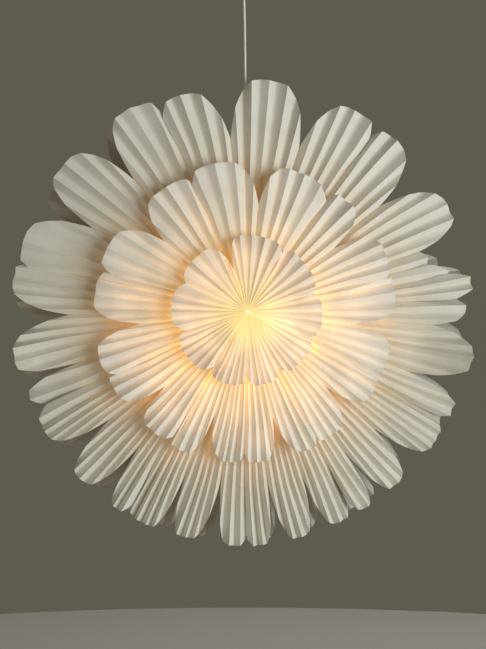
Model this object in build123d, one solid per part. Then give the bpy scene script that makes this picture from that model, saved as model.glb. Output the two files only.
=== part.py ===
from build123d import *

import math
import os

# An accordion paper lantern: three overlapping rings of pleated paper petals in front and three
# behind, threaded on flat card ribs that fan round a level axis, with a lamp in the hollow middle.
# Millimetres. +Z is up, the front faces -Y, and the origin is on the ceiling, at the hook plate's
# top face. An angle round the flower is measured from straight up, growing towards +X.

CENTRE_Z = -510.0

# paper
PAPER = 0.4
RIGHT_SEAMS = (35.5, 80.0, 120.0, 151.5)
LEFT_SEAMS = (22.0, 77.8, 119.0, 151.5)
BOTTOM = 180.0

# each ring: fold panels in one section and where its petals part, the panels of the top section
# that lie left of its middle fold, radii of root, tips, seams and gaps, where the cone of folds
# comes to a point on the axis and how fast it leans back, a panel's flat width, and the clearance
# of the sheets' side edges from the plane of a rib or board
RINGS = {
    "inner": dict(panels=10, parts=(0.0, 1.0), top_left=4, root=6.0, tip=102.0, seam=94.0,
                  gap=94.0, apex=100.4, lean=0.120, width_deg=6.60, rib_gap=0.15, board_gap=0.30),
    "middle": dict(panels=16, parts=(0.0, 0.5, 1.0), top_left=6, root=80.0, tip=208.0, seam=196.0,
                   gap=151.0, apex=86.0, lean=0.132, width_deg=4.00, rib_gap=0.65, board_gap=1.60),
    "outer": dict(panels=24, parts=(0.0, 1 / 3, 0.75, 1.0), top_left=10, root=120.0, tip=324.0,
                  seam=304.0, gap=243.0, apex=66.2, lean=0.136, width_deg=2.75, rib_gap=0.65,
                  board_gap=1.60),
}
# a petal's rim falls from its tip to its notches as (1 - |t| ** squareness) ** fullness
PETAL_SQUARENESS = 2.6
PETAL_FULLNESS = 0.85

# ribs: flat card, a front and a back limb joined by an outer web
RIB = 0.8
BOARD = 1.2
BOARD_SHIFT = 0.1
LIMB_ROOT = 20.0
LIMB_HALF_DEPTH = 57.0
WEB_HALF_DEPTH = 35.0
CUTOUT_RADIUS = 100.0
STEP_1 = 88.0
STEP_2 = 182.0
RIB_END = 290.0
# a rib's front edge runs just behind each ring's valleys: its depth on the axis, and its lean
RIB_EDGES = {"inner": (99.4, 0.172), "middle": (85.1, 0.1635), "outer": (65.3, 0.158)}

# the wire rings that the ribs are threaded on
BINDING_RADIUS = 24.0
BINDING_DEPTH = 64.0
BINDING_WIRE = 1.2
BINDING_HOLE = 2.4

# magnets that hold the two end boards together
MAGNET_D = 8.0
MAGNET_T = 0.8
MAGNET_PLACES = ((270.0, 0.0), (200.0, 20.0), (200.0, -20.0), (120.0, 0.0))

# lamp: heights are above the middle of the flower
HANGER_WIRE = 2.4
HANGER_SHOULDER = 46.0
COLLAR_Z = 54.0
COLLAR_T = 1.2
COLLAR_R = 19.0
SHELL_R = 13.0
SHELL_BORE_R = 11.0
SHELL_TOP = 78.0
SHELL_BOTTOM = 44.0
SHELL_LIP_R = 15.5
SHELL_LIP = 2.5
SHADE_RING_R = 17.5
SHADE_RING = 4.0
INSERT_R = 10.8
INSERT_BOTTOM = 50.0
INSERT_FLOOR = 74.0
CAP_R = 14.2
CAP_SHOULDER = 84.0
CAP_NECK_R = 8.0
CAP_TOP = 94.0
GRIP_STEM_R = 4.6
GRIP_SEAT = 84.5
GRIP_R = 6.0
GRIP_FLANGE = 98.0
GRIP_TOP = 108.0
CORD_END = 100.0
CORD_R = 1.7
BULB_R = 22.5
BULB_WALL = 1.2
BULB_Z = 8.5
BULB_NECK = 24.0
BULB_NECK_R = 16.2
BULB_WAIST = 48.0
BULB_WAIST_R = 7.5
E14_R = 6.8
E14_TOP = 68.0
E14_SHOULDER = 70.5
E14_CONTACT = 72.5
E14_CONTACT_R = 3.0

# ceiling end
PLATE_R = 38.0
PLATE_T = 2.5
PLATE_HOLES = 54.0
SCREW_HOLE_R = 2.25
LUG = (12.0, 1.5, 10.0)
LUG_SCREW_Z = -9.0
LUG_SCREW_R = 1.5
LUG_TAPPING_R = 1.6
HOOK_WIRE = 3.2
HOOK_TOP = -0.5
BLOCK = (18.0, 30.0, 14.0)
BLOCK_X = -19.0
BLOCK_Z = -14.0
CLAMP_R = 5.5
CLAMP_TOP = -37.0
CLAMP_BOTTOM = -44.2
BAIL_Z = -31.4
BAIL_R = 7.6
CUP_R = 50.0
CUP_FOOT_R = 30.0
CUP_SLOPE = 10.0
CUP_DEPTH = 48.0
CUP_WALL = 1.6
CUP_TOP = -0.6
CUP_MOUTH_R = 5.0
SCREW_HEAD_R = 3.0
SCREW_HEAD = 2.0
CORD_PIVOT = -50.0
BUSH_R = 8.0
BUSH_BORE_R = 2.3
BUSH_BOTTOM = -58.0


def save(name, *solids):
    shape = solids[0] if len(solids) == 1 else Compound(children=list(solids))
    shape.label = name
    export_step(shape, f"parts/{name}.step")


def at(z):
    """A height above the middle of the flower, in the part's own frame."""
    return CENTRE_Z + z


def cylinder(radius, low, high, x=0.0, y=0.0):
    return Pos(x, y, (low + high) / 2) * Cylinder(radius, high - low)


def tube(outer, inner, low, high, x=0.0, y=0.0):
    return cylinder(outer, low, high, x, y) - cylinder(inner, low - 1, high + 1, x, y)


def cone(low_radius, high_radius, low, high):
    return Pos(0, 0, (low + high) / 2) * Cone(low_radius, high_radius, high - low)


# ---------------------------------------------------------------- pleated paper


def petal_radius(ring, share):
    """The sheet's outer radius at a share, 0 to 1, of the way across one section."""
    parts = ring["parts"]
    petal = max(i for i in range(len(parts) - 1) if share >= parts[i] - 1e-9)
    low, high = parts[petal], parts[petal + 1]
    across = min(1.0, max(-1.0, (2 * share - low - high) / (high - low)))
    at_seam = petal == (0 if across < 0 else len(parts) - 2)
    notch = ring["seam"] if at_seam else ring["gap"]
    fall = (1 - abs(across) ** PETAL_SQUARENESS) ** PETAL_FULLNESS
    return notch + (ring["tip"] - notch) * fall


def fold_point(ring, angle, side, radius, pitch):
    """A point on a fold: side is -1 on a ridge, which stands forward, and +1 in a valley."""
    depth = math.tan(math.radians(math.sqrt(ring["width_deg"] ** 2 - pitch**2))) / 2
    a = math.radians(angle)
    y = -ring["apex"] + (ring["lean"] + side * depth) * radius
    return Vector(radius * math.sin(a), y, CENTRE_Z + radius * math.cos(a))


def pleated_sheet(ring, start, end, first, last, start_gap, end_gap):
    """One section's sheet, from panel first to panel last of a whole section."""
    count = last - first
    pitch = abs(end - start) / count
    turn = 1 if end > start else -1
    start += turn * math.degrees(start_gap / ring["root"])
    end -= turn * math.degrees(end_gap / ring["root"])
    roots, rims = [], []
    for i in range(count + 1):
        angle = start + (end - start) * i / count
        side = 1 if (first + i) % 2 == 0 else -1
        rim = petal_radius(ring, (first + i) / ring["panels"])
        roots.append(fold_point(ring, angle, side, ring["root"], pitch))
        rims.append(fold_point(ring, angle, side, rim, pitch))
    back = Vector(0, PAPER, 0)
    faces = []

    def face(*points):
        faces.append(Face(Wire.make_polygon(points, close=True)))

    for i in range(count):
        front = (roots[i], rims[i], rims[i + 1], roots[i + 1])
        face(*front)
        face(*[p + back for p in front])
        face(roots[i], roots[i + 1], roots[i + 1] + back, roots[i] + back)
        face(rims[i], rims[i + 1], rims[i + 1] + back, rims[i] + back)
    for i in (0, count):
        face(roots[i], rims[i], rims[i] + back, roots[i] + back)
    sheet = Solid(Shell(faces))
    return sheet.fix() if not sheet.is_valid else sheet


def sheet_pair(name, ring, *span):
    front = pleated_sheet(ring, *span)
    if front.volume < 0:
        front = Solid(Shell([-f for f in front.faces()]))
    save(name, front, mirror(front, about=Plane.XZ))


def pleated_rings():
    for ring_name, ring in RINGS.items():
        rib_gap, board_gap = ring["rib_gap"], ring["board_gap"]
        panels = ring["panels"]
        # the top section hangs across the hanger wires, which halve it at its fold straight up
        top_left = ring["top_left"]
        top_right = panels - top_left
        for side, sign, seams, top in (
            ("right", 1, RIGHT_SEAMS, top_right),
            ("left", -1, LEFT_SEAMS, top_left),
        ):
            edges = (0.0, *seams, BOTTOM)
            for k in range(len(edges) - 1):
                gap_1 = 0.15 if k == 0 else rib_gap
                gap_2 = board_gap if k == len(edges) - 2 else rib_gap
                first = panels - top if k == 0 else 0
                sheet_pair(
                    f"{side}_{ring_name}_petals_{k + 1}",
                    ring, sign * edges[k], sign * edges[k + 1], first, panels, gap_1, gap_2,
                )


# ---------------------------------------------------------------- ribs and boards


def rib_edge(ring_name, radius):
    depth, lean = RIB_EDGES[ring_name]
    return radius, depth - lean * radius


def rib_outline():
    """Half of a rib's outline, as (radius, depth) from the web's inner edge round to its rim."""
    return [
        (CUTOUT_RADIUS, WEB_HALF_DEPTH),
        (LIMB_ROOT + 22, WEB_HALF_DEPTH),
        (LIMB_ROOT, LIMB_HALF_DEPTH),
        rib_edge("inner", LIMB_ROOT),
        rib_edge("inner", STEP_1),
        rib_edge("middle", STEP_1),
        rib_edge("middle", STEP_2),
        rib_edge("outer", STEP_2),
        rib_edge("outer", RIB_END),
    ]


def card(angle, thickness, shift):
    """A rib or board: shift moves its near face off the plane through the axis, or None centres it."""
    a = math.radians(angle)
    plane = Plane(
        origin=(0, 0, CENTRE_Z),
        x_dir=(math.sin(a), 0, math.cos(a)),
        z_dir=(-math.cos(a), 0, math.sin(a)),
    )
    half = rib_outline()
    points = [(r, -y) for r, y in half] + [(r, y) for r, y in reversed(half)]
    holes = [
        Pos(BINDING_RADIUS, side * BINDING_DEPTH) * Circle(BINDING_HOLE / 2) for side in (-1, 1)
    ]
    flat = make_face(Polyline(*points, close=True)) - holes
    if shift is None:
        return extrude(plane * flat, thickness / 2, both=True).solid()
    board = extrude(plane * flat, thickness * (1 if shift > 0 else -1))
    return (Pos(shift, 0, 0) * board - magnet_discs(shift, 1e-3)).solid()


def magnet_discs(shift, deeper=0.0):
    """The magnets of one board, flush with its meeting face, or their pockets with a little deeper."""
    sign = 1 if shift > 0 else -1
    length = MAGNET_T + deeper
    return [
        Pos(shift + sign * length / 2, y, CENTRE_Z - r)
        * Rot(0, 90, 0)
        * Cylinder(MAGNET_D / 2, length)
        for r, y in MAGNET_PLACES
    ]


def ribs_and_boards():
    for side, sign, seams in (("right", 1, RIGHT_SEAMS), ("left", -1, LEFT_SEAMS)):
        for k, seam in enumerate(seams):
            save(f"{side}_rib_{k + 1}", card(sign * seam, RIB, None))
        save(f"{side}_end_board", card(BOTTOM, BOARD, sign * BOARD_SHIFT))
        save(f"{side}_magnets", *magnet_discs(sign * BOARD_SHIFT))


def binding_rings():
    ring = Rot(90, 0, 0) * Torus(BINDING_RADIUS, BINDING_WIRE / 2)
    save("binding_rings", *[Pos(0, s * BINDING_DEPTH, CENTRE_Z) * ring for s in (-1, 1)])


# ---------------------------------------------------------------- lamp


def wire_carrier():
    """A collar clamped on the lampholder, with a bent wire welded on for each binding ring."""
    low, high = at(COLLAR_Z), at(COLLAR_Z + COLLAR_T)
    level = (low + high) / 2
    carrier = tube(COLLAR_R, SHELL_R + 0.15, low, high)
    for side in (-1, 1):
        route = FilletPolyline(
            (0, side * (COLLAR_R - 3), level),
            (0, side * HANGER_SHOULDER, level),
            (0, side * BINDING_DEPTH, level - 12),
            (0, side * BINDING_DEPTH, at(BINDING_RADIUS + BINDING_WIRE / 2)),
            radius=5,
        )
        section = Plane(route @ 0, z_dir=route % 0) * Circle(HANGER_WIRE / 2)
        carrier += sweep(section, path=route)
    # the wires' ends are ground flat where the shade ring and the shell's lip clamp the collar
    ring_seat = cylinder(SHADE_RING_R + 0.1, low - 3, low)
    lip_seat = cylinder(SHELL_LIP_R + 0.1, high, high + 3)
    save("wire_carrier", carrier - ring_seat - lip_seat)


def lampholder():
    low, high = at(COLLAR_Z), at(COLLAR_Z + COLLAR_T)
    save("shade_ring", tube(SHADE_RING_R, SHELL_R + 0.02, low - SHADE_RING, low))
    lip = tube(SHELL_LIP_R, SHELL_R, high, high + SHELL_LIP)
    save("holder_shell", tube(SHELL_R, SHELL_BORE_R, at(SHELL_BOTTOM), at(SHELL_TOP)) + lip)
    socket = cylinder(E14_R + 0.3, at(INSERT_BOTTOM - 1), at(INSERT_FLOOR))
    save("contact_block", cylinder(INSERT_R, at(INSERT_BOTTOM), at(SHELL_TOP)) - socket)
    skirt = cylinder(CAP_R, at(SHELL_TOP), at(CAP_SHOULDER))
    shoulder = cone(CAP_R, CAP_NECK_R, at(CAP_SHOULDER), at(CAP_TOP))
    hollow = cylinder(SHELL_BORE_R, at(SHELL_TOP - 1), at(CAP_SHOULDER + 1))
    save("holder_cap", skirt + shoulder - hollow - cylinder(GRIP_STEM_R, at(CAP_SHOULDER), at(CAP_TOP + 1)))
    stem = cylinder(GRIP_STEM_R, at(GRIP_SEAT), at(CAP_TOP))
    flange = cylinder(GRIP_R, at(CAP_TOP), at(GRIP_FLANGE))
    taper = cone(GRIP_R - 1, 2 * CORD_R, at(GRIP_FLANGE), at(GRIP_TOP))
    bore = cylinder(CORD_R + 0.3, at(CORD_END), at(GRIP_TOP + 1))
    save("cord_grip", stem + flange + taper - bore)


def bulb():
    neck = at(BULB_NECK)
    centre = Pos(0, 0, at(BULB_Z))
    above = Pos(0, 0, neck + 2 * BULB_R) * Box(4 * BULB_R, 4 * BULB_R, 4 * BULB_R)
    globe = centre * Sphere(BULB_R) - centre * Sphere(BULB_R - BULB_WALL) - above
    save("bulb_globe", globe.solid())
    save("bulb_body", cone(BULB_NECK_R, BULB_WAIST_R, neck, at(BULB_WAIST)))
    thread = cylinder(E14_R, at(BULB_WAIST), at(E14_TOP))
    shoulder = cone(E14_R, E14_CONTACT_R + 1, at(E14_TOP), at(E14_SHOULDER))
    contact = cylinder(E14_CONTACT_R, at(E14_SHOULDER), at(E14_CONTACT))
    save("bulb_base", thread + shoulder, contact)


# ---------------------------------------------------------------- cord and ceiling end


def pendant_cord():
    """The cord hangs taut, in very slightly uneven runs, so its tube turns by a fraction of a degree."""
    route = (
        (0.4, 0.0, CORD_PIVOT),
        (0.3, 0.2, -90.0),
        (-1.8, 0.3, -130.0),
        (-2.3, 0.1, -170.0),
        (-1.7, -0.2, -212.0),
        (-0.7, -0.3, -256.0),
        (-0.5, 0.1, -306.0),
        (0.0, 0.0, -358.0),
        (0.0, 0.0, at(CORD_END)),
    )
    points = [Vector(*p) for p in route]
    radii = []
    for a, b, c in zip(points, points[1:], points[2:]):
        half_turn = math.radians((b - a).get_angle(c - b)) / 2
        radii.append(0.45 * min((b - a).length, (c - b).length) / math.tan(half_turn))
    path = FilletPolyline(*points, radius=radii)
    section = Plane(path @ 0, z_dir=path % 0) * Circle(CORD_R)
    cord = sweep(section, path=path).solid()
    print("cord radii, mm:", [round(r) for r in radii])
    print("cord length, mm:", round(path.length, 1), "volume / (section x length):",
          round(cord.volume / (math.pi * CORD_R**2 * path.length), 4))
    save("pendant_cord", cord)


def across(radius, length, y):
    """A round bar along Y at the height of the cup's screws."""
    return Pos(0, y, LUG_SCREW_Z) * Rot(90, 0, 0) * Cylinder(radius, length)


def hook_plate():
    lug_y = PLATE_R - LUG[1]
    holes = [cylinder(SCREW_HOLE_R, -10, 1, x=s * PLATE_HOLES / 2) for s in (-1, 1)]
    lugs = [Pos(0, s * lug_y, -PLATE_T - LUG[2] / 2) * Box(*LUG) for s in (-1, 1)]
    tapped = [across(LUG_TAPPING_R, 6, s * lug_y) for s in (-1, 1)]
    hook_hole = cylinder(HOOK_WIRE / 2, -10, HOOK_TOP)
    save("hook_plate", cylinder(PLATE_R, -PLATE_T, 0) + lugs - holes - tapped - hook_hole)
    route = FilletPolyline(
        (0, 0, HOOK_TOP), (0, 0, -12), (8, 0, -20), (0, 0, -30), (-8, 0, -22), radius=4.5
    )
    section = Plane(route @ 0, z_dir=route % 0) * Circle(HOOK_WIRE / 2)
    save("ceiling_hook", sweep(section, path=route).solid())


def wiring():
    bottom = BLOCK_Z - BLOCK[2] / 2
    screws = [cylinder(2.2, bottom - 4, bottom + 6, x=BLOCK_X, y=s * 8) for s in (-1, 1)]
    save("terminal_block", Pos(BLOCK_X, 0, BLOCK_Z) * Box(*BLOCK) - screws)
    clamp = tube(CLAMP_R, 2.4, CLAMP_BOTTOM, CLAMP_TOP)
    bail = Pos(0, 0, BAIL_Z) * Rot(0, 90, 0) * tube(BAIL_R, BAIL_R - 2, -1.2, 1.2)
    save("strain_relief", clamp + bail - cylinder(2.4, CORD_PIVOT, CLAMP_TOP - 1))


def ceiling_cup():
    bottom = CUP_TOP - CUP_DEPTH
    bend = bottom + CUP_SLOPE
    bore = CUP_R - CUP_WALL
    outside = cylinder(CUP_R, bend, CUP_TOP) + cone(CUP_FOOT_R, CUP_R, bottom, bend)
    inside = cylinder(bore, bend, CUP_TOP + 1) + cone(CUP_FOOT_R - 1, bore, bottom + CUP_WALL, bend)
    screw_holes = [across(LUG_SCREW_R + 0.3, 14, s * (CUP_R - 5)) for s in (-1, 1)]
    mouth = cylinder(CUP_MOUTH_R, bottom - 1, bottom + CUP_SLOPE)
    save("ceiling_cup", outside - inside - screw_holes - mouth)
    shafts = [across(LUG_SCREW_R, 13, s * (CUP_R - 6.5)) for s in (-1, 1)]
    heads = [across(SCREW_HEAD_R, SCREW_HEAD, s * (CUP_R + SCREW_HEAD / 2)) for s in (-1, 1)]
    save("cup_screws", *[shaft + head for shaft, head in zip(shafts, heads)])
    sleeve = cylinder(CUP_MOUTH_R - 0.1, bottom, bottom + 4)
    flare = cone(2 * BUSH_BORE_R, BUSH_BORE_R, BUSH_BOTTOM - 0.01, CORD_PIVOT + 1)
    bore = cylinder(BUSH_BORE_R, CORD_PIVOT, 0)
    save("cord_bush", sleeve + cylinder(BUSH_R, BUSH_BOTTOM, bottom) - flare - bore)


os.makedirs("parts", exist_ok=True)
pleated_rings()
ribs_and_boards()
binding_rings()
wire_carrier()
lampholder()
bulb()
pendant_cord()
hook_plate()
wiring()
ceiling_cup()
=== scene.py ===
import math
import random

import bpy
import numpy as np
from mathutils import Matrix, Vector


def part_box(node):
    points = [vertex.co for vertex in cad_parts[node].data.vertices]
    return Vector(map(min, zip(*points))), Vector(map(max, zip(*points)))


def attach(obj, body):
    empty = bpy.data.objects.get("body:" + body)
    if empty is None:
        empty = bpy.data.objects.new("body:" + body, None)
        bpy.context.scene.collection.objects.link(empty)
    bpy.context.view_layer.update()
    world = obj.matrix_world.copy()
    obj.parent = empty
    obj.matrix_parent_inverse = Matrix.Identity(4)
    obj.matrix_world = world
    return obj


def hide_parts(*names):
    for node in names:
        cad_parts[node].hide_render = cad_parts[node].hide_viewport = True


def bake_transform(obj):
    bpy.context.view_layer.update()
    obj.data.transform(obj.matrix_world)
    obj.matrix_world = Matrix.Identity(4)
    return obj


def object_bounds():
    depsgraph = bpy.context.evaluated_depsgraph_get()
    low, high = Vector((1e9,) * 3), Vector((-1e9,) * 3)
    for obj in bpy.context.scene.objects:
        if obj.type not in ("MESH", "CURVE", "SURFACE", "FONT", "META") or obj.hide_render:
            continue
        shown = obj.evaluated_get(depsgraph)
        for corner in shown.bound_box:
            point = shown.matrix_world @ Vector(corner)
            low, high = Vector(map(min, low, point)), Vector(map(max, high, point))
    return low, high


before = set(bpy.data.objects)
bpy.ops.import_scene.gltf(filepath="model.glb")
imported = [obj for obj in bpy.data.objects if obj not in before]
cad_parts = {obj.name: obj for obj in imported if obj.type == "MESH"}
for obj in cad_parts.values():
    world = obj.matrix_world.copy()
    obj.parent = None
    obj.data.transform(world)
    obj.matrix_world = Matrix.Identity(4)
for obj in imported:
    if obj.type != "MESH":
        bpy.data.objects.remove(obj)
cad_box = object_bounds()

# ---------------------------------------------------------------- the frame, in metres and degrees

MM = 0.001
BINDING_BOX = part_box("binding_rings")
CENTRE = (BINDING_BOX[0] + BINDING_BOX[1]) / 2   # the middle of the flower, on the folding axis

# Rib angles from straight up: the first is at the wire carrier, and the last at the end boards,
# where the paper stops just short of the other side's.
EDGES = {
    "right": (0.0, 35.5, 80.0, 120.0, 151.5, 179.97),
    "left": (0.0, -22.0, -77.8, -119.0, -151.5, -179.97),
}

# ---------------------------------------------------------------- camera

VIEW_AZIMUTH = -3.0
VIEW_DISTANCE = 2.3
VIEW_HEIGHT = 0.909      # what the picture's height takes in at the flower's middle plane
SENSOR_WIDTH = 36.0      # in mm
AIM = CENTRE + Vector((-0.0007, 0, -0.0175))


def add_object(name, data):
    """A new object in the scene, that holds a mesh, a curve, a light or a camera."""
    made = bpy.data.objects.new(name, data)
    bpy.context.scene.collection.objects.link(made)
    return made


def make_camera():
    data = bpy.data.cameras.new("camera")
    data.sensor_width = SENSOR_WIDTH
    data.lens = SENSOR_WIDTH * VIEW_DISTANCE / VIEW_HEIGHT
    camera = add_object("camera", data)
    a = math.radians(VIEW_AZIMUTH)
    back = Vector((math.sin(a), -math.cos(a), 0))
    camera.location = AIM + back * VIEW_DISTANCE
    camera.rotation_mode = "QUATERNION"
    camera.rotation_quaternion = (-back).to_track_quat("-Z", "Y")
    bpy.context.scene.camera = camera


make_camera()

# ---------------------------------------------------------------- the cord

# The middle of the cord, from just above the cup's outlet down into the cord grip, in mm.
CORD_ROUTE = (
    (0.0, 0.0, -50.0), (1.4, 0.1, -90.0), (1.9, 0.3, -130.0), (2.4, 0.1, -170.0),
    (2.8, -0.2, -212.0), (1.9, -0.3, -256.0), (0.7, 0.1, -306.0), (0.0, 0.0, -358.0),
    (0.0, 0.0, -409.9),
)
CORD_DIAMETER = 0.0034   # in metres


def make_cord():
    curve = bpy.data.curves.new("pendant_cord_lead", "CURVE")
    curve.dimensions = "3D"
    curve.bevel_depth = 1.0
    curve.bevel_resolution = 6
    curve.resolution_u = 12
    curve.use_fill_caps = True
    spline = curve.splines.new("NURBS")
    spline.points.add(len(CORD_ROUTE) - 1)
    for point, place in zip(spline.points, reversed(CORD_ROUTE)):
        point.co = (*[c * MM for c in place], 1.0)
        point.radius = CORD_DIAMETER / 2
    spline.order_u = 3
    spline.use_endpoint_u = True
    cord = add_object("pendant_cord_lead", curve)
    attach(cord, "cord")
    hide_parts("pendant_cord")
    return cord


cord = make_cord()

# ---------------------------------------------------------------- materials


class Nodes:
    """A material's node tree, with short calls for the nodes that the looks below are made of."""

    def __init__(self, name):
        self.material = bpy.data.materials.new(name)
        self.material.use_nodes = True
        self.tree = self.material.node_tree
        self.shader = self.tree.nodes["Principled BSDF"]

    def node(self, kind, **settings):
        made = self.tree.nodes.new("ShaderNode" + kind)
        for key, value in settings.items():
            setattr(made, key, value)
        return made

    def link(self, source, target):
        self.tree.links.new(source, target)

    def put(self, socket, value):
        """Gives an input a number, a colour, or what another socket makes."""
        if isinstance(value, bpy.types.NodeSocket):
            self.link(value, socket)
        else:
            socket.default_value = value

    def stretched(self, vector, scale):
        made = self.node("Mapping")
        self.link(vector, made.inputs["Vector"])
        made.inputs["Scale"].default_value = scale
        return made.outputs["Vector"]

    def place(self, scale=(1.0, 1.0, 1.0)):
        """Where a point is on the object, stretched along each axis."""
        return self.stretched(self.node("TexCoord").outputs["Object"], scale)

    def axes(self, vector):
        made = self.node("SeparateXYZ")
        self.link(vector, made.inputs["Vector"])
        return made.outputs

    def noise(self, vector, scale, detail, rough=0.55):
        made = self.node("TexNoise")
        self.put(made.inputs["Vector"], vector)
        made.inputs["Scale"].default_value = scale
        made.inputs["Detail"].default_value = detail
        made.inputs["Roughness"].default_value = rough
        return made.outputs["Fac"]

    def math(self, operation, a, b=0.0):
        made = self.node("Math", operation=operation)
        self.put(made.inputs[0], a)
        self.put(made.inputs[1], b)
        return made.outputs[0]

    def ramp(self, factor, stops, smooth=True):
        made = self.node("ValToRGB")
        made.color_ramp.interpolation = "EASE" if smooth else "LINEAR"
        elements = made.color_ramp.elements
        while len(elements) < len(stops):
            elements.new(0.5)
        for element, (place, colour) in zip(elements, stops):
            element.position = place
            element.color = (*colour, 1.0)
        self.put(made.inputs["Fac"], factor)
        return made.outputs["Color"]

    def mix(self, factor, a, b, blend="MIX"):
        made = self.node("Mix", data_type="RGBA", blend_type=blend)
        self.put(made.inputs[0], factor)
        for socket, value in ((made.inputs[6], a), (made.inputs[7], b)):
            self.put(socket, (*value, 1.0) if isinstance(value, tuple) else value)
        return made.outputs[2]

    def bump(self, height, distance, strength):
        made = self.node("Bump")
        made.inputs["Strength"].default_value = strength
        made.inputs["Distance"].default_value = distance
        self.link(height, made.inputs["Height"])
        self.link(made.outputs["Normal"], self.shader.inputs["Normal"])


# The lamp's light painted into the paper as a glow, by radius in metres, and the paper's base colour
# painted warmer towards the lamp: close round it the paper's own white is lost in painted warm light.
GLOW_STOPS = {
    "inner": ((0.000, (0.72, 0.50, 0.16)), (0.010, (0.58, 0.40, 0.12)), (0.036, (0.50, 0.33, 0.12)),
              (0.060, (0.53, 0.330, 0.175)), (0.080, (0.45, 0.275, 0.155)),
              (0.104, (0.33, 0.215, 0.125))),
    "middle": ((0.040, (0.80, 0.34, 0.05)), (0.100, (0.49, 0.25, 0.07)), (0.125, (0.37, 0.20, 0.075)),
               (0.150, (0.29, 0.165, 0.075)), (0.180, (0.19, 0.120, 0.075)),
               (0.212, (0.10, 0.075, 0.052))),
    "outer": ((0.120, (0.46, 0.19, 0.035)), (0.170, (0.22, 0.105, 0.03)),
              (0.215, (0.080, 0.043, 0.015)), (0.260, (0.018, 0.011, 0.005)),
              (0.326, (0.0, 0.0, 0.0))),
}
PAINTED_WARMTH_STOPS = {
    "inner": ((0.0, (0.96, 0.86, 0.58)), (0.050, (0.86, 0.80, 0.68)), (0.104, (0.87, 0.84, 0.79))),
    "middle": ((0.08, (0.99, 0.90, 0.76)), (0.135, (1.0, 0.97, 0.91)), (0.200, (1.0, 0.99, 0.96))),
    "outer": ((0.14, (1.0, 0.88, 0.72)), (0.215, (1.0, 0.96, 0.89)), (0.280, (0.985, 0.98, 0.93))),
}
GLOW_REACH = 0.33                # the radius that the colour ramps end at
GRAIN_SCALE = (0.012, 1.0, 1.0)  # a pleat counts 1 in U, and its grain is 12 mm wide

# The share of light left, from the flower's middle up to where the lampholder shades it most.
HOLDER_SHADE = {"From Min": CENTRE.z, "From Max": CENTRE.z + 0.13, "To Min": 1.0, "To Max": 0.52}


def paper_surface(n, uv, ridge, trough):
    """The paper's own colour, with a painted highlight along each ridge and painted shade in each
    valley, and how high its fibres stand.
    """
    grain = n.stretched(uv, GRAIN_SCALE)
    fibres = n.noise(grain, 900.0, 6.0, 0.7)
    clouds = n.noise(grain, 28.0, 3.0)
    base = n.ramp(clouds, ((0.30, (0.80, 0.775, 0.72)), (0.70, (0.86, 0.84, 0.79))))
    specks = n.ramp(fibres, ((0.35, (0.70, 0.66, 0.60)), (0.6, (0.90, 0.88, 0.84))))
    speckled = n.mix(0.10, base, specks)
    # painted light: a thin painted highlight along each ridge, and soft painted shade in each valley
    crest = n.math("POWER", ridge, 12.0)
    ridge_highlit = n.mix(n.math("MULTIPLY", crest, 0.5), speckled, (0.95, 0.94, 0.90))
    crease_lit_paper = n.mix(n.math("MULTIPLY", trough, 0.35), ridge_highlit, (0.66, 0.58, 0.46))
    height = n.math("ADD", n.math("MULTIPLY", fibres, 0.6), n.math("MULTIPLY", clouds, 1.2))
    return crease_lit_paper, height


def paper_light(n, pleat, trough):
    """How unevenly the lamp's light comes through."""
    # each panel passes its own share, and the valleys more than the ridges
    panel = n.node("TexWhiteNoise", noise_dimensions="1D")
    n.put(panel.inputs["W"], n.math("FLOOR", n.math("MULTIPLY", pleat, 2.0)))
    share = n.math("ADD", n.math("MULTIPLY", panel.outputs["Value"], 0.45), 0.62)
    share = n.math("ADD", share, n.math("MULTIPLY", trough, 0.55))
    # the lamp hangs from the top, so its holder shades the upper petals
    place = n.node("TexCoord").outputs["Object"]
    shade = n.node("MapRange")
    n.put(shade.inputs["Value"], n.axes(place)["Z"])
    for name, value in HOLDER_SHADE.items():
        shade.inputs[name].default_value = value
    share = n.math("MULTIPLY", share, shade.outputs["Result"])
    # and whole groups of pleats are lighter or darker, by how near they come to the lamp
    patches = n.noise(place, 26.0, 1.0, 0.4)
    return n.math("MULTIPLY", share, n.math("ADD", n.math("MULTIPLY", patches, 1.4), 0.33))


def paper_material(ring):
    """Matt folded paper. U counts pleats, a whole number in each valley, and V is the radius."""
    n = Nodes(f"{ring}_paper")
    uv = n.node("UVMap", uv_map="paper").outputs["UV"]
    axes = n.axes(uv)
    pleat, radius = axes["X"], axes["Y"]
    # 0 in a valley and 1 on a ridge
    ridge = n.math("PINGPONG", n.math("MULTIPLY", pleat, 2.0), 1.0)
    trough = n.math("POWER", n.math("SUBTRACT", 1.0, ridge), 3.0)
    reach = n.math("DIVIDE", radius, GLOW_REACH)
    crease_lit_paper, height = paper_surface(n, uv, ridge, trough)
    # the base colour painted warm near the lamp: painted light
    painted_warmth = n.ramp(reach, [(r / GLOW_REACH, c) for r, c in PAINTED_WARMTH_STOPS[ring]], smooth=False)
    n.put(n.shader.inputs["Base Color"], n.mix(1.0, crease_lit_paper, painted_warmth, "MULTIPLY"))
    n.shader.inputs["Roughness"].default_value = 0.82
    n.shader.inputs["Specular IOR Level"].default_value = 0.28
    share = paper_light(n, pleat, trough)
    glow = n.ramp(reach, [(r / GLOW_REACH, c) for r, c in GLOW_STOPS[ring]], smooth=False)
    n.put(n.shader.inputs["Emission Color"], n.mix(1.0, glow, share, "MULTIPLY"))
    n.shader.inputs["Emission Strength"].default_value = 1.0
    n.bump(height, 0.00025, 0.35)
    n.material.cycles.emission_sampling = "NONE"
    return n.material


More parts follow.
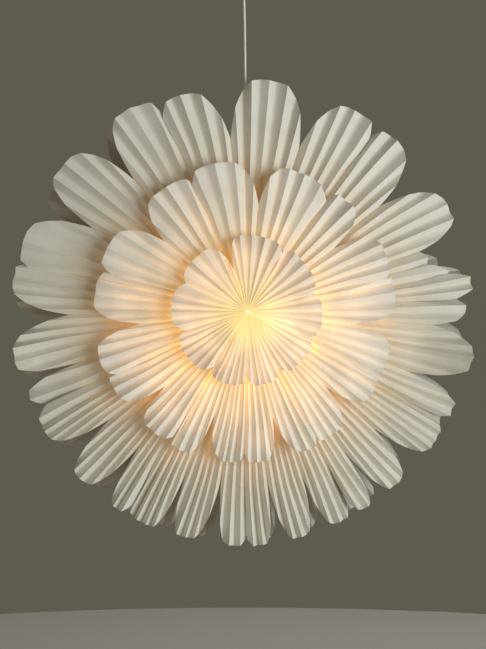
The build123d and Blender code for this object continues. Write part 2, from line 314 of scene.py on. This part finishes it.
def inside_material():
    """The paper's inner face, which only shows between the petals: a darker copy of the paper's
    colour, painted shade, with a faint painted glow.
    """
    n = Nodes("paper_inside_painted_shade")
    place = n.place()
    fibres = n.noise(place, 900.0, 5.0, 0.7)
    clouds = n.noise(place, 24.0, 3.0)
    # darker than the outside of the same paper: painted shade
    base = n.ramp(clouds, ((0.3, (0.55, 0.53, 0.47)), (0.7, (0.62, 0.60, 0.54))))
    specks = n.ramp(fibres, ((0.35, (0.46, 0.44, 0.39)), (0.6, (0.66, 0.64, 0.58))))
    n.put(n.shader.inputs["Base Color"], n.mix(0.12, base, specks))
    n.shader.inputs["Roughness"].default_value = 0.85
    # a faint painted glow of lamp light
    n.shader.inputs["Emission Color"].default_value = (0.016, 0.012, 0.007, 1.0)
    n.shader.inputs["Emission Strength"].default_value = 1.0
    n.bump(fibres, 0.0002, 0.35)
    n.material.cycles.emission_sampling = "NONE"
    return n.material


def card_material(name, light, dark):
    """Solid card: a mottled face with short fibres."""
    n = Nodes(name)
    place = n.place()
    mottle = n.noise(place, 60.0, 5.0, 0.6)
    fibre = n.noise(n.place((1.0, 1.0, 9.0)), 220.0, 5.0, 0.7)
    face = n.ramp(mottle, ((0.3, dark), (0.7, light)))
    flecks = n.ramp(fibre, ((0.4, dark), (0.6, light)))
    n.put(n.shader.inputs["Base Color"], n.mix(0.25, face, flecks))
    n.shader.inputs["Roughness"].default_value = 0.86
    n.bump(fibre, 0.0002, 0.5)
    return n.material


def metal_material(name, light, dark, rough, grain=(1.0, 1.0, 1.0), scale=180.0):
    """Plated or galvanised metal, with drawn grain and a little tarnish."""
    n = Nodes(name)
    streak = n.noise(n.place(grain), scale, 4.0, 0.6)
    tarnish = n.noise(n.place(), 45.0, 3.0)
    n.put(n.shader.inputs["Base Color"], n.ramp(tarnish, ((0.35, dark), (0.65, light))))
    n.shader.inputs["Metallic"].default_value = 1.0
    spread = n.math("MULTIPLY", streak, 0.22)
    n.put(n.shader.inputs["Roughness"], n.math("ADD", spread, rough - 0.11))
    n.bump(streak, 0.00005, 0.4)
    return n.material


def plastic_material(name, light, dark, rough, pebble=420.0, depth=0.00006):
    """Moulded plastic or paint: a faint orange-peel skin and a breath of dust."""
    n = Nodes(name)
    place = n.place()
    peel = n.noise(place, pebble, 2.0, 0.5)
    dust = n.noise(place, 35.0, 5.0, 0.65)
    n.put(n.shader.inputs["Base Color"], n.ramp(dust, ((0.32, dark), (0.62, light))))
    n.put(n.shader.inputs["Roughness"], n.math("ADD", n.math("MULTIPLY", dust, 0.16), rough - 0.08))
    n.bump(peel, depth, 0.5)
    return n.material


def diffuser_material():
    """The lit opal globe: brightest at its widest, and a little dimmer round its neck."""
    n = Nodes("opal_diffuser")
    low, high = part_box("bulb_globe")
    place = n.node("TexCoord").outputs["Object"]
    share = n.math("DIVIDE", n.math("SUBTRACT", n.axes(place)["Z"], low.z), high.z - low.z)
    milk = n.noise(place, 80.0, 3.0)
    opal = n.ramp(milk, ((0.3, (0.90, 0.86, 0.76)), (0.7, (0.96, 0.93, 0.86))))
    n.put(n.shader.inputs["Base Color"], opal)
    n.shader.inputs["Roughness"].default_value = 0.22
    lit = ((0.0, (1.0, 0.72, 0.36)), (0.6, (1.0, 0.76, 0.42)), (1.0, (0.75, 0.48, 0.20)))
    n.put(n.shader.inputs["Emission Color"], n.ramp(share, lit))
    n.shader.inputs["Emission Strength"].default_value = 6.0
    return n.material


PAPERS = {ring: paper_material(ring) for ring in ("inner", "middle", "outer")}
SHADED_PAPER_INSIDE = inside_material()
RIB_CARD = card_material("rib_card", (0.78, 0.74, 0.66), (0.66, 0.61, 0.52))
BOARD_CARD = card_material("board_card", (0.70, 0.65, 0.56), (0.56, 0.50, 0.42))
STEEL = metal_material("zinc_steel", (0.72, 0.72, 0.73), (0.58, 0.58, 0.60), 0.38)
WIRE = metal_material("galvanised_wire", (0.70, 0.70, 0.71), (0.52, 0.52, 0.53), 0.34,
                      (1, 1, 6), 260.0)
NICKEL = metal_material("nickel_magnet", (0.80, 0.79, 0.77), (0.70, 0.69, 0.67), 0.22)
CAP_METAL = metal_material("lamp_cap_metal", (0.76, 0.74, 0.68), (0.60, 0.57, 0.50), 0.30,
                           (1, 1, 14), 300.0)
PLASTIC = plastic_material("white_plastic", (0.86, 0.86, 0.84), (0.80, 0.80, 0.77), 0.42)
CERAMIC = plastic_material("glazed_block", (0.84, 0.82, 0.77), (0.78, 0.75, 0.69), 0.20,
                           160.0, 0.0001)
CORD_SHEATH = plastic_material("cord_sheath", (0.84, 0.83, 0.80), (0.76, 0.75, 0.71), 0.50,
                               700.0, 0.00005)
CUP_PAINT = plastic_material("cup_paint", (0.88, 0.88, 0.87), (0.83, 0.83, 0.81), 0.33,
                             300.0, 0.00004)
DIFFUSER = diffuser_material()

NODE_MATERIALS = {
    "hook_plate": STEEL, "ceiling_hook": STEEL, "cup_screws": STEEL, "terminal_block": PLASTIC,
    "strain_relief": PLASTIC, "cord_bush": PLASTIC, "ceiling_cup": CUP_PAINT,
    "cord_grip": PLASTIC, "holder_cap": PLASTIC, "holder_shell": PLASTIC, "shade_ring": PLASTIC,
    "contact_block": CERAMIC, "wire_carrier": WIRE, "binding_rings": WIRE,
    "bulb_globe": DIFFUSER, "bulb_body": PLASTIC, "bulb_base": CAP_METAL,
    "right_end_board": BOARD_CARD, "left_end_board": BOARD_CARD,
    "right_magnets": NICKEL, "left_magnets": NICKEL,
}
for side in EDGES:
    for number in range(1, 5):
        NODE_MATERIALS[f"{side}_rib_{number}"] = RIB_CARD


def dress_cad_nodes():
    for name, material in NODE_MATERIALS.items():
        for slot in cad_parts[name].material_slots:
            slot.material = material
    cord.data.materials.append(CORD_SHEATH)


dress_cad_nodes()

# ---------------------------------------------------------------- pleated paper

# Each ring, with lengths in mm:
#   pleats    how many there are in one section
#   root      the radius that the sheets start at
#   parted    the radius that the petals are apart beyond
#   apex      how far in front of the centre the cone of the folds meets the axis
#   lean      how far that cone leans back for each mm of radius
#   width     the flat width of a panel, in degrees
#   valley    how deep the fold on a rib is for each mm of radius
#   leftward  how far the rim lies off centre
#   ragged    how uneven the cut edge is
#   curl      how far the petals curl, lean and twist
#   rows      how many steps the mesh has from root to rim
RINGS = {
    "inner": dict(pleats=5, root=1.2, parted=72, apex=100.4, lean=0.120, width=6.6, valley=0.052,
                  leftward=0.0, ragged=0.8, curl=1.0, rows=12),
    "middle": dict(pleats=8, root=40.0, parted=150, apex=86.0, lean=0.132, width=4.0, valley=0.031,
                   leftward=1.0, ragged=1.0, curl=3.0, rows=14),
    "outer": dict(pleats=12, root=100.0, parted=240, apex=66.2, lean=0.136, width=2.75,
                  valley=0.0215, leftward=2.0, ragged=1.3, curl=5.0, rows=20),
}

# Each petal, from the left end board round over the top to the right one: the angle where it
# starts, how far out its edge and its neighbour's cross there, the angles that its flat tip runs
# between, how far out that tip is, and whether its edge there lies over its neighbour's (1), under
# it (-1), or neither (0). Angles are in degrees from straight up, radii in mm.
PETALS = {
    "inner": (
        (-180, 88, -172, -157, 101, 0), (-148, 86, -136, -119, 101, 1),
        (-106, 86, -95, -79, 102, 1), (-66, 88, -54, -34, 100, -1), (-18, 58, -7, 18, 103, 0),
        (30, 91, 42, 61, 102, -1), (75, 91, 86, 101, 102, -1), (112, 90, 123, 140, 100, -1),
        (151.5, 87, 160, 172, 101, 0),
    ),
    "middle": (
        (-180, 192, -177, -172, 206, 0), (-163.1, 144, -157, -151, 208, 0),
        (-149.6, 196, -146, -139, 206, 1), (-132.7, 148, -125, -118, 207, 0),
        (-115.6, 193, -111, -105, 208, 1), (-96.6, 142, -87, -79, 206, 0),
        (-73.8, 190, -71, -62, 206, 1), (-49.2, 145, -39, -27, 201, 0),
        (-22, 184, -17, -7, 206, 1), (6.7, 147, 17, 27, 205, 0), (35.5, 188, 38, 46, 206, -1),
        (54.3, 148, 62, 73, 207, 0), (75.8, 197, 79, 88, 207, -1), (96.5, 149, 104, 112, 206, 0),
        (115.8, 196, 118, 125, 207, -1), (133.2, 148, 140, 147, 206, 0),
        (151.5, 196, 153, 158, 207, 1), (165.8, 148, 171, 177, 206, 0),
    ),
    "outer": (
        (-180, 315, -178, -175, 324, 0), (-172, 236, -167.5, -164.5, 322, 0),
        (-160, 236, -156, -152.5, 322, 0), (-148.9, 308, -147.5, -145, 322, 1),
        (-142, 235, -137, -134, 321, 0), (-128.5, 236, -121.7, -118, 319, 0),
        (-115, 300, -114, -112, 318, -1), (-107, 238, -103, -98.7, 319, 0),
        (-91, 240, -83.7, -79, 319, 0), (-77.8, 298, -75, -69.5, 317, 1),
        (-61.2, 237, -55, -49, 320, 0), (-40.0, 236, -32, -25.5, 321, 0),
        (-22, 288, -18, -14, 311, 1), (-4.7, 240, 4, 9, 324, 0), (18.4, 240, 28, 33, 321, 0),
        (35.5, 300, 39, 42.5, 321, -1), (52, 240, 61, 65, 321, 0), (71, 258, 73, 75, 268, 0),
        (75.5, 262, 76.5, 79, 292, 1), (80, 286, 81, 84.5, 321, 1),
        (86.5, 296, 88, 90, 311, -1), (94, 262, 101, 104, 322, 0), (110, 242, 115, 117, 323, 0),
        (118.4, 306, 122, 126, 323, -1), (132, 242, 137.5, 140.4, 322, 0),
        (144.5, 240, 147.5, 149, 321, 0), (151.5, 306, 153, 156, 322, -1),
        (160.7, 240, 165.4, 168.3, 321, 0), (172.3, 240, 175.4, 178, 325, 0),
    ),
}

REAR_TURN = (-3.2, 0.8)  # how far round from the front petals the rear ones stand, in degrees: the
REAR_UPPER = (-30, 68)   # second holds for those that start between these angles, at the top
REAR_SHIFT = 1.0         # how much further or less far each stands, in degrees
REAR_SHORT = 2.0         # how much shorter they are, in mm

PAPER = 0.42             # how thick the paper is, in mm
ACROSS = 4               # how many steps the mesh has across a panel
LAP = 0.30               # how far two crossing petals lie over each other, in panels
PRISE = 0.9              # how far that sets them apart, in fold heights
RIB_CLEAR = 4.0          # degrees from a rib: nearer to it petals bend back less, as the rib is
                         # behind them, and further from it they bend forward more
STRAIGHT = 0.7           # how nearly straight the cut is between two folds
SHOULDER = (2.1, 0.85)   # the powers that round a petal's shoulders
BEYOND_TIP = 8.0         # how far beyond its tip a petal would be quite free, in mm
BEND_POWER = 1.4         # how much of a petal's bend comes near its tip
EDGE_POWER = 4           # how close to a petal's edges a crossing is felt
EDGE_RISE = 2.5          # how soon it is felt fully, going outwards

# The limits that each petal, fold, panel or sheet is drawn between at random.
CURLS = (-1, 1)          # a petal's curl, lean and twist, as shares of its ring's
LEANS = (-1, 0.6)
TWISTS = (-0.8, 0.8)
SLANTS = (-0.9, 0.9)     # how far round its tip leans, in degrees
RAGGED = (0.25, 1.4)     # how uneven its edge is, as a share of its ring's
WIDTHS = (-0.25, 0.25)   # how much wider a panel is than its fair share
DEPTHS = (-0.40, 0.22)   # how much deeper a fold is than an even one
BOWS = (-0.03, 0.095)    # how far a panel bows between its folds, as a share of its width
SAGS = (-1, 0.3)         # how far a whole sheet sags back, as a share of the next
SAG = 1.2                # in mm

FLATTER = 0.24           # how much shallower the folds are at the bottom
LEAST_RISE = 0.6         # how far a panel rises at least, in square degrees


class Petal:
    """One petal's outline, and how it stands."""

    def __init__(self, ring, row, following, rng):
        self.start, self.start_cut, self.tip_from, self.tip_to, self.tip, self.start_over = row
        self.end, self.end_cut, over = following
        self.end_over = -over
        self.parted = ring["parted"]
        self.curl = rng.uniform(*CURLS) * ring["curl"]
        self.lean = rng.uniform(*LEANS) * ring["curl"]
        self.twist = rng.uniform(*TWISTS) * ring["curl"]
        self.slant = rng.uniform(*SLANTS)
        self.ragged = rng.uniform(*RAGGED) * ring["ragged"]

    def share(self, angle):
        return min(1.0, max(0.0, (angle - self.start) / (self.end - self.start)))

    def rim(self, angle):
        """How far the paper reaches at an angle: the flat tip, and a rounded shoulder each side."""
        if angle < self.tip_from:
            cut, off = self.start_cut, (self.tip_from - angle) / (self.tip_from - self.start)
        elif angle > self.tip_to:
            cut, off = self.end_cut, (angle - self.tip_to) / (self.end - self.tip_to)
        else:
            return self.tip
        return cut + (self.tip - cut) * max(0.0, 1 - off ** SHOULDER[0]) ** SHOULDER[1]

    def free(self, angle, radius):
        """0 where the sheet is still whole, rising to 1 at the tip."""
        share = self.share(angle)
        start, end = min(self.start_cut, self.parted), min(self.end_cut, self.parted)
        whole = start * (1 - share) + end * share
        return max(0.0, (radius - whole) / (self.tip - whole + BEYOND_TIP))

    def lift(self, angle, radius):
        """How far the free end of the petal stands back from the cone, in mm."""
        share, free = self.share(angle), self.free(angle, radius)
        bend = self.curl * math.sin(math.pi * share) + self.lean + self.twist * (2 * share - 1)
        back = bend * free**BEND_POWER
        rib = min(abs(angle - edge) for edges in EDGES.values() for edge in edges)
        return min(back, back * rib / RIB_CLEAR)

    def edge_weights(self, angle, radius):
        """How strongly a point feels the crossing at the petal's start and at its end."""
        share, free = self.share(angle), min(1.0, EDGE_RISE * self.free(angle, radius))
        return (1 - share) ** EDGE_POWER * free, share**EDGE_POWER * free

    def prised(self, angle, radius):
        """How far a crossing sets the paper back, in fold heights."""
        start, end = self.edge_weights(angle, radius)
        return -PRISE * (self.start_over * start + self.end_over * end)

    def turned(self, angle, radius, pitch):
        """The angle that the paper stands at once petals slant and lap, in degrees."""
        start, end = self.edge_weights(angle, radius)
        lap = abs(self.end_over) * end - abs(self.start_over) * start
        return angle + self.slant * self.free(angle, radius) + LAP * pitch * lap


def ring_petals(ring_name, facing):
    """All petals of one ring, in front or behind."""
    ring, rows = RINGS[ring_name], list(PETALS[ring_name])
    rng = random.Random(f"{ring_name} petals {facing}")
    if facing == "rear":
        shifts = [REAR_TURN[REAR_UPPER[0] < row[0] < REAR_UPPER[1]]
                  + rng.uniform(-REAR_SHIFT, REAR_SHIFT) for row in rows[1:]]
        # the seam at the bottom stays where it is, and a tip moves by the mean of its two sides
        shifts = [0.0, *shifts, 0.0]
        rows = [(row[0] + here, row[1], row[2] + (here + there) / 2, row[3] + (here + there) / 2,
                 row[4] - REAR_SHORT, row[5])
                for row, here, there in zip(rows, shifts, shifts[1:])]
    following = [(row[0], row[1], row[5]) for row in rows[1:]] + [(180.0, rows[0][1], 0)]
    return [Petal(ring, row, after, rng) for row, after in zip(rows, following)]


def fold_angles(ring, petals, low, high, rng):
    """Where one section's sheet is folded, from one rib to the next, and the panels' petals.

    Each petal has a whole number of pleats, so that petals part along a valley."""
    inside = [p for p in petals if p.start < high - 0.1 and p.end > low + 0.1]
    marks = [low, *(p.start for p in inside[1:]), high]
    span = EDGES["right"][1] - EDGES["left"][1] if 0 in (low, high) else high - low
    folds, owners = [low], []
    for petal, start, end in zip(inside, marks, marks[1:]):
        count = max(1, round(ring["pleats"] * (end - start) / span))
        shares = np.cumsum([1 + rng.uniform(*WIDTHS) for _ in range(2 * count)])
        folds.extend(start + (end - start) * share for share in shares / shares[-1])
        owners.extend([petal] * (2 * count))
    return folds, owners


def sheet_columns(ring, petals, low, high, rng):
    """Every line of points of one sheet: its angle, rim, fold height, pleat number and petal.

    A line that two petals share comes twice, once for each. The height of an even fold, for each mm
    of radius, and the mean angle between folds come with them."""
    folds, owners = fold_angles(ring, petals, low, high, rng)
    panels = len(owners)
    pitch = (high - low) / panels
    steep = math.tan(math.radians(math.sqrt(max(ring["width"] ** 2 - pitch**2, LEAST_RISE)))) / 2
    heights = [steep * (1 if i % 2 == 0 else -1) for i in range(panels + 1)]
    for i in range(1, panels):
        heights[i] *= 1 + rng.uniform(*DEPTHS)
        heights[i] *= 1 - FLATTER * max(0.0, -math.cos(math.radians(folds[i])))
    heights[0] = heights[-1] = ring["valley"]
    nicks = [rng.uniform(-1, 1) for _ in range(panels + 1)]
    bows = [rng.uniform(*BOWS) * math.radians(pitch) for _ in range(panels)]
    columns = []
    for i, petal in enumerate(owners):
        last = i == panels - 1 or owners[i + 1] is not petal
        ends = []
        for fold, nick in zip(folds[i:i + 2], nicks[i:i + 2]):
            whole = petal.rim(fold)
            ends.append(whole + nick * petal.ragged * petal.free(fold, whole))
        for k in range(ACROSS + last):
            u = k / ACROSS
            angle = folds[i] + (folds[i + 1] - folds[i]) * u
            rim = STRAIGHT * (ends[0] * (1 - u) + ends[1] * u) + (1 - STRAIGHT) * petal.rim(angle)
            rim -= ring["leftward"] * math.sin(math.radians(angle))
            height = heights[i] * (1 - u) + heights[i + 1] * u + bows[i] * 4 * u * (1 - u)
            columns.append((angle, rim, height, (i + u) / 2, petal))
    return columns, steep, pitch


def sheet_points(ring, columns, steep, pitch, span, rng):
    """One sheet's outside about the flower's centre, in mm, its UVs and its shares of the span."""
    low, high = span
    sag = rng.uniform(*SAGS) * SAG
    number = 10 * rng.randrange(12)  # each sheet's pleats count from here, so that sheets differ
    points, uvs, shares = [], [], []
    for angle, rim, height, pleat, petal in columns:
        share = (angle - low) / (high - low)
        for row in range(ring["rows"] + 1):
            along = row / ring["rows"]
            radius = ring["root"] + (rim - ring["root"]) * along
            sagging = sag * math.sin(math.pi * share) * math.sin(math.pi * along)
            lift = petal.lift(angle, radius) + sagging
            slope = ring["lean"] + height + steep * petal.prised(angle, radius)
            depth = ring["apex"] - slope * radius - lift
            a = math.radians(petal.turned(angle, radius, pitch))
            points.append((radius * math.sin(a), -depth, radius * math.cos(a)))
            uvs.append((number + pleat, radius * MM))
            shares.append(share)
    return np.array(points), uvs, shares


def sheet_mesh(name, ring_name, side, section, facing):
    """One section's sheet as a closed, thin mesh, and how far each point goes with the upper rib."""
    ring, rng = RINGS[ring_name], random.Random(name)
    span = sorted(EDGES[side][section:section + 2])
    columns, steep, pitch = sheet_columns(ring, ring_petals(ring_name, facing), *span, rng)
    outside, uvs, shares = sheet_points(ring, columns, steep, pitch, span, rng)
    turns = [1 - share for share in shares] if side == "right" else shares
    both = np.vstack((outside, outside + np.array((0, PAPER, 0))))
    if facing == "rear":
        both[:, 1] *= -1
    both = both * MM + np.array(CENTRE)
    stride = ring["rows"] + 1
    joined = [a[4] is b[4] for a, b in zip(columns, columns[1:])]
    mesh = bpy.data.meshes.new(name)
    mesh.from_pydata(both.tolist(), [], shell_faces(joined, stride, facing == "rear"))
    layer = mesh.uv_layers.new(name="paper")
    loops = np.zeros(len(mesh.loops), np.int32)
    mesh.loops.foreach_get("vertex_index", loops)
    layer.data.foreach_set("uv", np.array(uvs + uvs, np.float32)[loops].ravel())
    inner = [min(polygon.vertices) >= len(outside) for polygon in mesh.polygons]
    mesh.polygons.foreach_set("material_index", inner)
    crease_edges(mesh, [column[3] for column in columns], stride)
    return mesh, np.array(turns + turns, np.float32)


def shell_faces(joined, stride, mirrored):
    """Faces of a thin closed sheet: outside, inside, and the strip round its edges."""
    back = (len(joined) + 1) * stride
    faces = []

    def side_strip(c, opening):
        for a in range(c * stride, (c + 1) * stride - 1):
            strip = (a, a + 1, a + 1 + back, a + back)
            faces.append(strip if opening else strip[::-1])

    side_strip(0, True)
    for c, whole in enumerate(joined):
        if not whole:
            side_strip(c, False)
            side_strip(c + 1, True)
            continue
        for r in range(stride - 1):
            a, b = c * stride + r, (c + 1) * stride + r
            faces.append((a, b, b + 1, a + 1))
            faces.append((a + back, a + 1 + back, b + 1 + back, b + back))
        a, b = c * stride, (c + 1) * stride
        faces.append((a, a + back, b + back, b))
        a, b = a + stride - 1, b + stride - 1
        faces.append((a, b, b + back, a + back))
    side_strip(len(joined), False)
    return [face[::-1] for face in faces] if mirrored else faces


def crease_edges(mesh, pleats, stride):
    """Sharp along each ridge and round the cut edges, and soft in the valleys."""
    mesh.polygons.foreach_set("use_smooth", [True] * len(mesh.polygons))
    back = len(pleats) * stride
    sharp = []
    for edge in mesh.edges:
        a, b = edge.vertices
        through = (a < back) != (b < back)
        column_a, column_b = (a % back) // stride, (b % back) // stride
        on_fold = column_a == column_b and pleats[column_a] % 1 == 0.5
        on_rim = column_a != column_b and (a % back) % stride in (0, stride - 1)
        sharp.append(through or on_fold or on_rim)
    attribute = mesh.attributes.new("sharp_edge", "BOOLEAN", "EDGE")
    attribute.data.foreach_set("value", sharp)


def fan_between(piece):
    """Bakes the piece's placement into its mesh."""
    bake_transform(piece)


def make_petals():
    for ring_name in RINGS:
        for side in EDGES:
            for section in range(5):
                node = f"{side}_{ring_name}_petals_{section + 1}"
                for facing in ("front", "rear"):
                    name = f"{facing}_{node}"
                    mesh, turns = sheet_mesh(name, ring_name, side, section, facing)
                    mesh.materials.append(PAPERS[ring_name])
                    mesh.materials.append(SHADED_PAPER_INSIDE)
                    piece = add_object(name, mesh)
                    fan_between(piece)
                    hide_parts(node)


make_petals()

# ---------------------------------------------------------------- floor and light

FLOOR_DROP = 0.47        # below the flower's lowest point
FLOOR_RADIUS = 2.2
FLOOR_CORNERS = 64

# Each area light: its place from the flower's centre, its diameter, its power in watts, its colour.
AREA_LIGHTS = {
    "key": ((3.2, -3.0, -0.4), 3.2, 138, (0.94, 1.0, 1.0)),
    "fill": ((-1.9, -2.4, -0.8), 2.0, 11, (1.0, 0.96, 0.88)),
    "rear": ((0.8, 1.8, 1.4), 1.6, 8, (1.0, 1.0, 1.0)),
}


def make_floor():
    floor_z = cad_box[0].z - FLOOR_DROP
    turn = 2 * math.pi / FLOOR_CORNERS
    points = [(FLOOR_RADIUS * math.cos(i * turn), FLOOR_RADIUS * math.sin(i * turn), floor_z)
              for i in range(FLOOR_CORNERS)]
    mesh = bpy.data.meshes.new("floor")
    mesh.from_pydata(points, [], [tuple(range(FLOOR_CORNERS))])
    n = Nodes("floor_paint")
    n.shader.inputs["Base Color"].default_value = (0.92, 0.91, 0.88, 1)
    n.shader.inputs["Roughness"].default_value = 0.9
    mesh.materials.append(n.material)
    floor = add_object("floor", mesh)


def make_area_light(name, place, size, power, colour):
    data = bpy.data.lights.new(name, "AREA")
    data.shape = "DISK"
    data.size = size
    data.energy = power
    data.color = colour
    lamp = add_object(name, data)
    lamp.location = CENTRE + Vector(place)
    lamp.rotation_mode = "QUATERNION"
    lamp.rotation_quaternion = (CENTRE - lamp.location).to_track_quat("-Z", "Y")


def make_bulb_light():
    bulb = bpy.data.lights.new("bulb_light", "POINT")
    bulb.energy = 0.2
    bulb.color = (1.0, 0.62, 0.30)
    bulb.shadow_soft_size = 0.02
    lamp = add_object("bulb_light", bulb)
    lamp.location = CENTRE + Vector((0, 0, -0.03))
    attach(lamp, "bulb")


def make_light():
    for name, light in AREA_LIGHTS.items():
        make_area_light(name, *light)
    make_bulb_light()
    world = bpy.data.worlds.new("studio")
    world.use_nodes = True
    world.node_tree.nodes["Background"].inputs["Color"].default_value = (0.112, 0.105, 0.078, 1)
    bpy.context.scene.world = world


make_floor()
make_light()
bpy.context.scene.view_settings.view_transform = "Standard"

bpy.context.view_layer.update()
